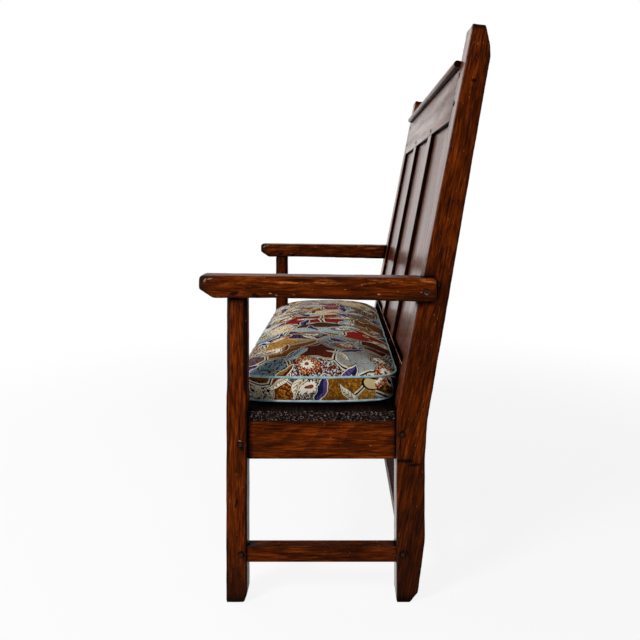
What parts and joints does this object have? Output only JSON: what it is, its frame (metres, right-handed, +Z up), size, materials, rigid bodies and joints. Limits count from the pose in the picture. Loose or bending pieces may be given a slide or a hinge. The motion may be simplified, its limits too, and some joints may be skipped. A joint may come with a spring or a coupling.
{
  "type": "settle bench",
  "caption": "Joined wooden settle with open arms, a high panelled back leaning backwards, a boarded seat, a rear stretcher and a loose boxed cushion.",
  "frame": {"origin": "on the floor, below the middle of the object's box", "axes": "+Z up, -Y towards the front of the seat, X along the bench with +X on the sitter's left"},
  "size_m": [1.159, 0.641, 1.276],
  "materials": {
    "frame_oak": "satin varnish",
    "panel_oak": "gloss varnish",
    "seat_oak": "rough",
    "peg_oak": "satin",
    "cushion_fabric": "printed cotton"
  },
  "bodies": {
    "frame": {"arm_left": "frame_oak", "arm_right": "frame_oak", "arm_pegs": "peg_oak", "back_frame_pegs": "peg_oak", "back_panel_centre": "panel_oak", "back_panel_left": "panel_oak", "back_panel_right": "panel_oak", "back_post_left": "frame_oak", "back_post_right": "frame_oak", "front_post_left": "frame_oak", "front_post_right": "frame_oak", "front_seat_rail": "frame_oak", "lower_back_rail": "frame_oak", "muntin_left": "frame_oak", "muntin_right": "frame_oak", "rear_seat_rail": "frame_oak", "rear_stretcher": "frame_oak", "seat_bearer": "seat_oak", "seat_board_front": "seat_oak", "seat_board_middle": "seat_oak", "seat_board_rear": "seat_oak", "seat_frame_pegs": "peg_oak", "side_seat_rail_left": "frame_oak", "side_seat_rail_right": "frame_oak", "side_stretcher_left": "frame_oak", "side_stretcher_right": "frame_oak", "stretcher_pegs": "peg_oak", "top_moulding": "frame_oak", "top_rail": "frame_oak"},
    "cushion": {"seat_cushion": "cushion_fabric"}
  },
  "joints": [
    {"name": "cushion_lift", "type": "slide", "parent": "frame", "child": "cushion", "axis": [0, 0, 1], "range_m": [0, 0.33]}
  ]
}
